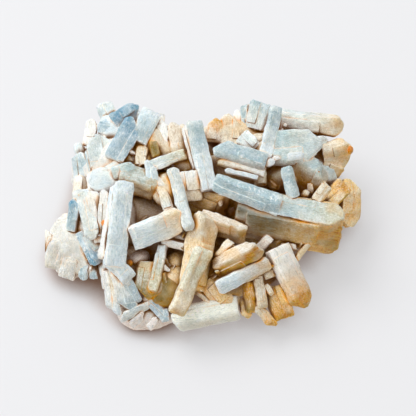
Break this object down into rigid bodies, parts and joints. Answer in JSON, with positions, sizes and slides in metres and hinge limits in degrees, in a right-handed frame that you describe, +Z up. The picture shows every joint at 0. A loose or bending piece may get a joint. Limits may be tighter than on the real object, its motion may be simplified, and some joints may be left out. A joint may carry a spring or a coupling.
{
  "type": "blue barite crystal cluster",
  "caption": "Hand-sized cluster of bladed blue barite crystals grown through each other on a lumpy base.",
  "frame": {"origin": "middle of the flat spot under the base that the cluster rests on", "axes": "+X to the right and +Z up as the cluster is displayed; it is shown from the -Y side"},
  "size_m": [0.0956, 0.0746, 0.0336],
  "materials": {
    "barite": "milky, softly glossy crystal, pale blue with tan and rust stains"
  },
  "bodies": {
    "root": {"barite_cluster": "barite"}
  },
  "joints": []
}
